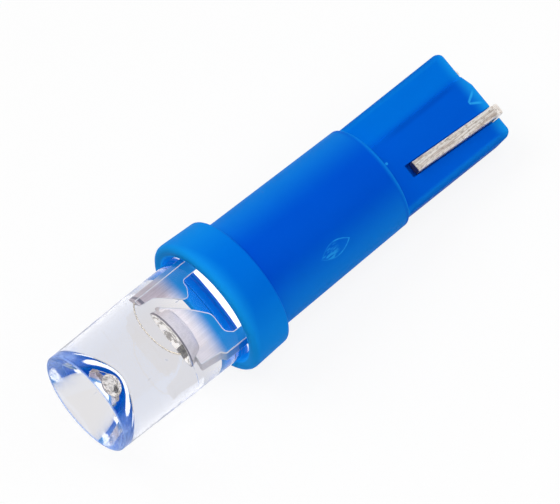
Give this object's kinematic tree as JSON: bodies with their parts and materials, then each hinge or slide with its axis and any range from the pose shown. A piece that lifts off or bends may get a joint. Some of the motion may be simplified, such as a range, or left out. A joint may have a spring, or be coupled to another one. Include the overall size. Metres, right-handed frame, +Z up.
{
  "type": "wedge led bulb",
  "caption": "Small wedge-base LED bulb: a clear dish-fronted LED in a blue collared holder, with two leads folded back on its flat blade.",
  "frame": {"origin": "centre of the collar's rear face, on the bulb's axis", "axes": "the bulb lies on its side as it comes to rest: +X points from the lens towards the blade's end (the axis leans 5 degrees down that way), +Y across, +Z up"},
  "size_m": [0.0224, 0.0064, 0.0065],
  "materials": {
    "blue_plastic": "satin",
    "clear_epoxy": "polished",
    "tinned_metal": "satin",
    "die": "satin",
    "silver_glue": "matte",
    "gold_wire": "polished",
    "ceramic_rod": "matte",
    "lacquer": "gloss",
    "solder": "satin"
  },
  "bodies": {
    "root": {"wedge_holder": "blue_plastic", "led_lens": "clear_epoxy", "anvil_lead": "tinned_metal", "post_lead": "tinned_metal", "led_chip": "die", "die_attach": "silver_glue", "bond_wire": "gold_wire", "resistor_core": "ceramic_rod", "resistor_cap_front": "tinned_metal", "resistor_cap_rear": "tinned_metal", "resistor_coat": "lacquer", "resistor_lead_front": "tinned_metal", "resistor_lead_rear": "tinned_metal", "solder_joint": "solder"}
  },
  "joints": []
}
